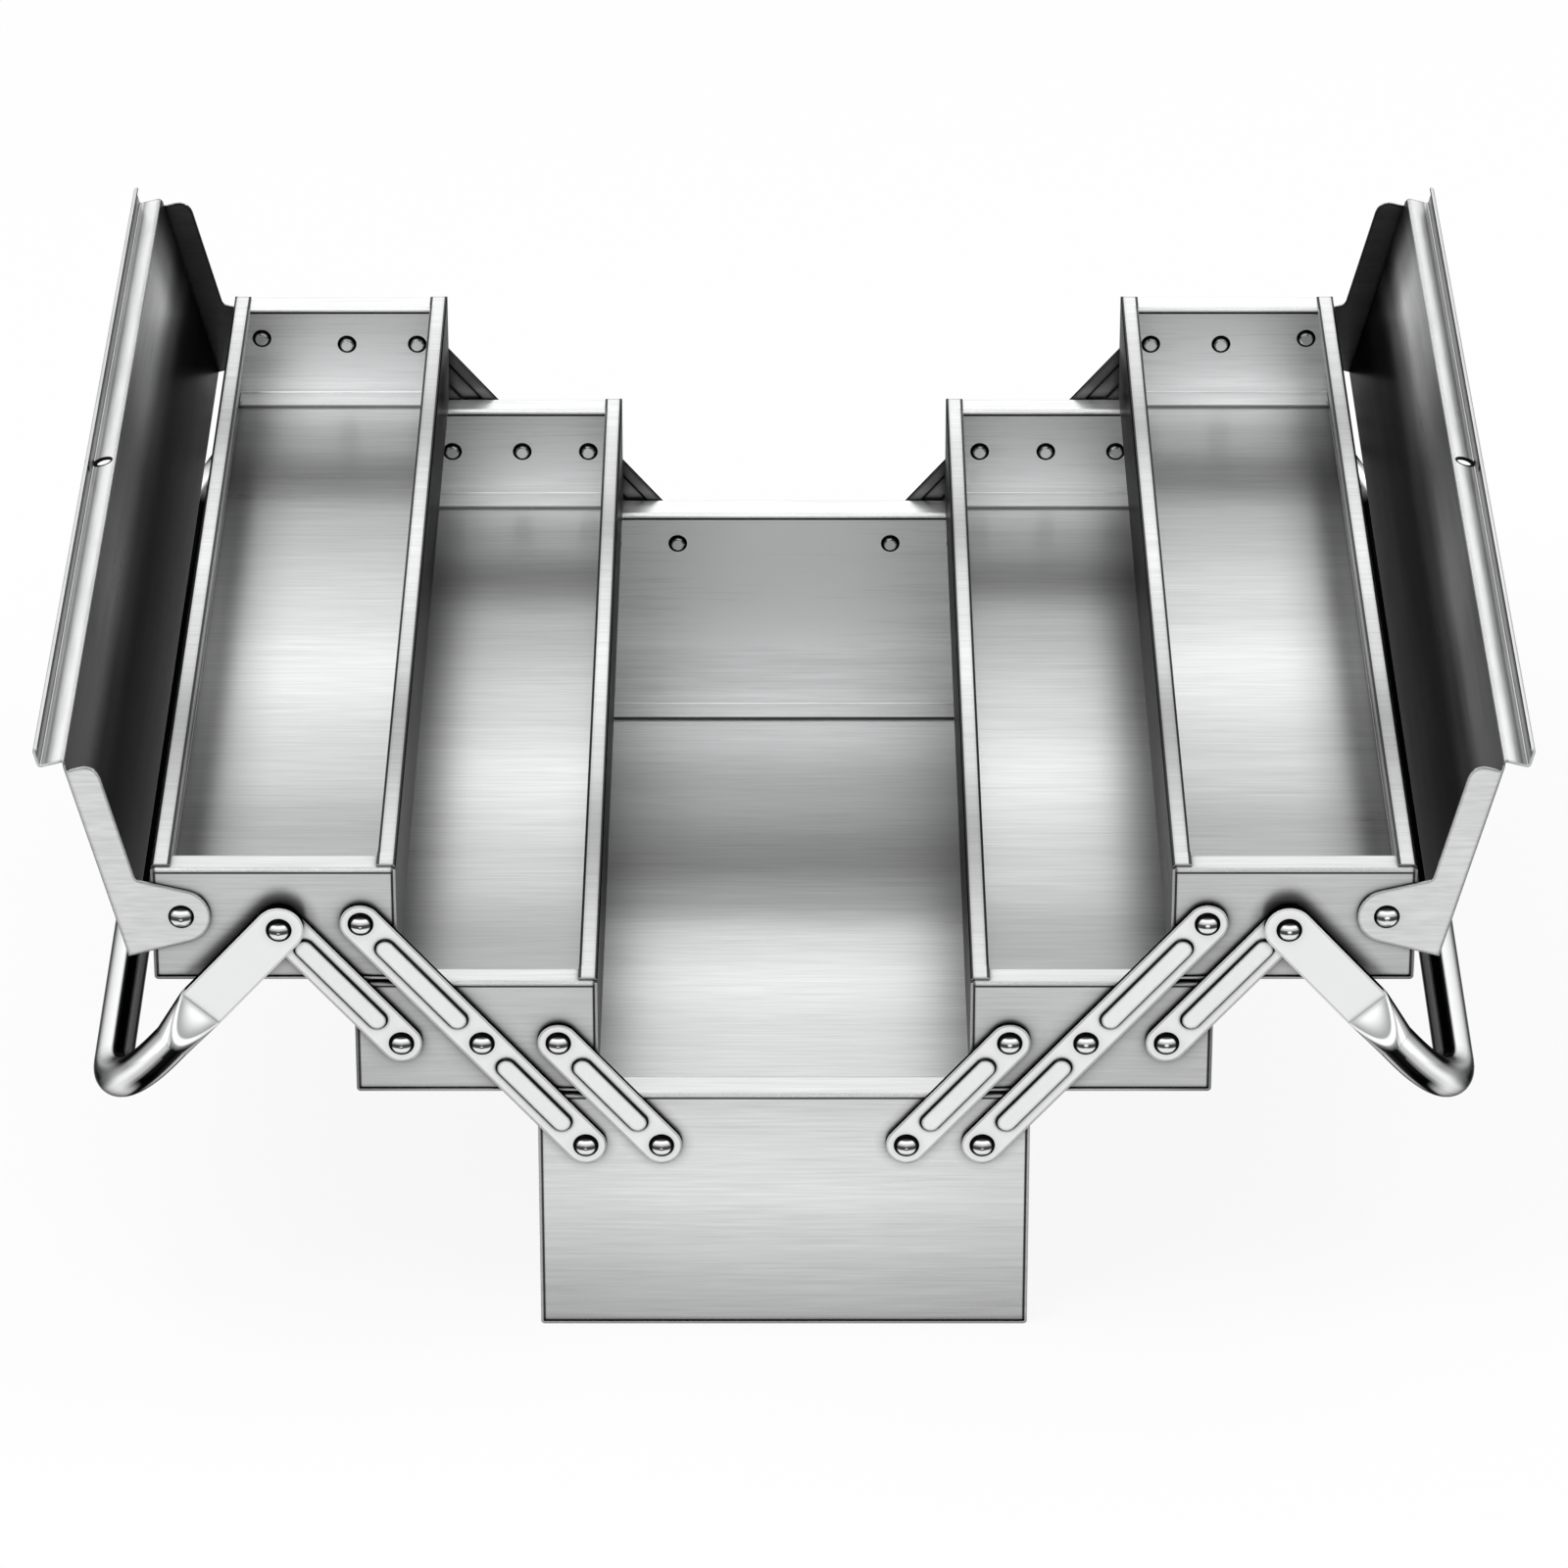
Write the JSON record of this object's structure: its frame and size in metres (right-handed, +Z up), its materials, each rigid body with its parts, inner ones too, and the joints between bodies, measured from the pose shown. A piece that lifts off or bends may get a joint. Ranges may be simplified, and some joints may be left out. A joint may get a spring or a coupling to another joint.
{
  "type": "cantilever tool box",
  "caption": "Open steel cantilever tool box: a deep bottom tray, trays that swing out on riveted link arms, hinged lids with padlock holes and bent tube handles.",
  "frame": {"origin": "centre of the bottom tray in plan, on the plane that the box stands on", "axes": "+Z up, +Y from front to back along the trays, +X to the right across the box; the trays are swung out along X"},
  "size_m": [0.596, 0.595, 0.2671],
  "materials": {
    "brushed_sheet": "fine lengthwise brushing, satin",
    "end_sheet": "fine crosswise brushing, satin",
    "arm_steel": "bright satin, pressed",
    "lid_sheet": "lengthwise brushing, semi bright",
    "polished_tube": "polished",
    "rivet_steel": "polished dome",
    "spacer_steel": "turned"
  },
  "bodies": {
    "root": {"bottom_shell": "brushed_sheet", "bottom_front_end": "end_sheet", "bottom_back_end": "end_sheet", "bottom_rivets": "rivet_steel"},
    "long_arms_left": {"long_arm_front_left": "arm_steel", "long_arm_back_left": "arm_steel"},
    "middle_tray_left": {"middle_shell_left": "brushed_sheet", "middle_front_end_left": "end_sheet", "middle_back_end_left": "end_sheet", "middle_rivets_left": "rivet_steel"},
    "top_tray_left": {"top_shell_left": "brushed_sheet", "top_front_end_left": "end_sheet", "top_back_end_left": "end_sheet", "top_arm_rivets_left": "rivet_steel", "lid_rivets_left": "rivet_steel", "handle_rivets_left": "rivet_steel", "handle_spacers_left": "spacer_steel"},
    "lower_arms_left": {"lower_arm_front_left": "arm_steel", "lower_arm_back_left": "arm_steel"},
    "upper_arms_left": {"upper_arm_front_left": "arm_steel", "upper_arm_back_left": "arm_steel"},
    "lid_body_left": {"lid_left": "lid_sheet"},
    "handle_body_left": {"handle_left": "polished_tube"},
    "long_arms_right": {"long_arm_front_right": "arm_steel", "long_arm_back_right": "arm_steel"},
    "middle_tray_right": {"middle_shell_right": "brushed_sheet", "middle_front_end_right": "end_sheet", "middle_back_end_right": "end_sheet", "middle_rivets_right": "rivet_steel"},
    "top_tray_right": {"top_shell_right": "brushed_sheet", "top_front_end_right": "end_sheet", "top_back_end_right": "end_sheet", "top_arm_rivets_right": "rivet_steel", "lid_rivets_right": "rivet_steel", "handle_rivets_right": "rivet_steel", "handle_spacers_right": "spacer_steel"},
    "lower_arms_right": {"lower_arm_front_right": "arm_steel", "lower_arm_back_right": "arm_steel"},
    "upper_arms_right": {"upper_arm_front_right": "arm_steel", "upper_arm_back_right": "arm_steel"},
    "lid_body_right": {"lid_right": "lid_sheet"},
    "handle_body_right": {"handle_right": "polished_tube"}
  },
  "joints": [
    {"name": "fold_left", "type": "hinge", "parent": "root", "child": "long_arms_left", "pos_m": [-0.08059, 0, 0.0862], "axis": [0, 1, 0], "range_deg": [0, 69.5]},
    {"name": "middle_tray_pivot_left", "type": "hinge", "parent": "long_arms_left", "child": "middle_tray_left", "pos_m": [-0.12197, 0, 0.1338], "axis": [0, 1, 0], "range_deg": [-69.5, 0]},
    {"name": "top_tray_pivot_left", "type": "hinge", "parent": "long_arms_left", "child": "top_tray_left", "pos_m": [-0.1697, 0, 0.1887], "axis": [0, 1, 0], "range_deg": [-69.5, 0]},
    {"name": "lower_arm_pivot_left", "type": "hinge", "parent": "root", "child": "lower_arms_left", "pos_m": [-0.04979, 0, 0.0862], "axis": [0, 1, 0], "range_deg": [0, 69.5]},
    {"name": "upper_arm_pivot_left", "type": "hinge", "parent": "middle_tray_left", "child": "upper_arms_left", "pos_m": [-0.15447, 0, 0.1338], "axis": [0, 1, 0], "range_deg": [0, 69.5]},
    {"name": "lid_hinge_left", "type": "hinge", "parent": "top_tray_left", "child": "lid_body_left", "pos_m": [-0.24151, 0, 0.1916], "axis": [0, 1, 0], "range_deg": [0, 105]},
    {"name": "handle_hinge_left", "type": "hinge", "parent": "top_tray_left", "child": "handle_body_left", "pos_m": [-0.2022, 0, 0.1887], "axis": [0, 1, 0], "range_deg": [0, 159.81]},
    {"name": "fold_right", "type": "hinge", "parent": "root", "child": "long_arms_right", "pos_m": [0.08059, 0, 0.0862], "axis": [0, -1, 0], "range_deg": [0, 69.5]},
    {"name": "middle_tray_pivot_right", "type": "hinge", "parent": "long_arms_right", "child": "middle_tray_right", "pos_m": [0.12197, 0, 0.1338], "axis": [0, -1, 0], "range_deg": [-69.5, 0]},
    {"name": "top_tray_pivot_right", "type": "hinge", "parent": "long_arms_right", "child": "top_tray_right", "pos_m": [0.1697, 0, 0.1887], "axis": [0, -1, 0], "range_deg": [-69.5, 0]},
    {"name": "lower_arm_pivot_right", "type": "hinge", "parent": "root", "child": "lower_arms_right", "pos_m": [0.04979, 0, 0.0862], "axis": [0, -1, 0], "range_deg": [0, 69.5]},
    {"name": "upper_arm_pivot_right", "type": "hinge", "parent": "middle_tray_right", "child": "upper_arms_right", "pos_m": [0.15447, 0, 0.1338], "axis": [0, -1, 0], "range_deg": [0, 69.5]},
    {"name": "lid_hinge_right", "type": "hinge", "parent": "top_tray_right", "child": "lid_body_right", "pos_m": [0.24151, 0, 0.1916], "axis": [0, -1, 0], "range_deg": [0, 105]},
    {"name": "handle_hinge_right", "type": "hinge", "parent": "top_tray_right", "child": "handle_body_right", "pos_m": [0.2022, 0, 0.1887], "axis": [0, -1, 0], "range_deg": [0, 159.81]}
  ],
  "couplings": [
    {"joint": "middle_tray_pivot_left", "follows": "fold_left", "ratio": -1},
    {"joint": "top_tray_pivot_left", "follows": "fold_left", "ratio": -1},
    {"joint": "lower_arm_pivot_left", "follows": "fold_left", "ratio": 1},
    {"joint": "upper_arm_pivot_left", "follows": "fold_left", "ratio": 1},
    {"joint": "handle_hinge_left", "follows": "lid_hinge_left", "ratio": 1.5219},
    {"joint": "middle_tray_pivot_right", "follows": "fold_right", "ratio": -1},
    {"joint": "top_tray_pivot_right", "follows": "fold_right", "ratio": -1},
    {"joint": "lower_arm_pivot_right", "follows": "fold_right", "ratio": 1},
    {"joint": "upper_arm_pivot_right", "follows": "fold_right", "ratio": 1},
    {"joint": "handle_hinge_right", "follows": "lid_hinge_right", "ratio": 1.5219}
  ]
}
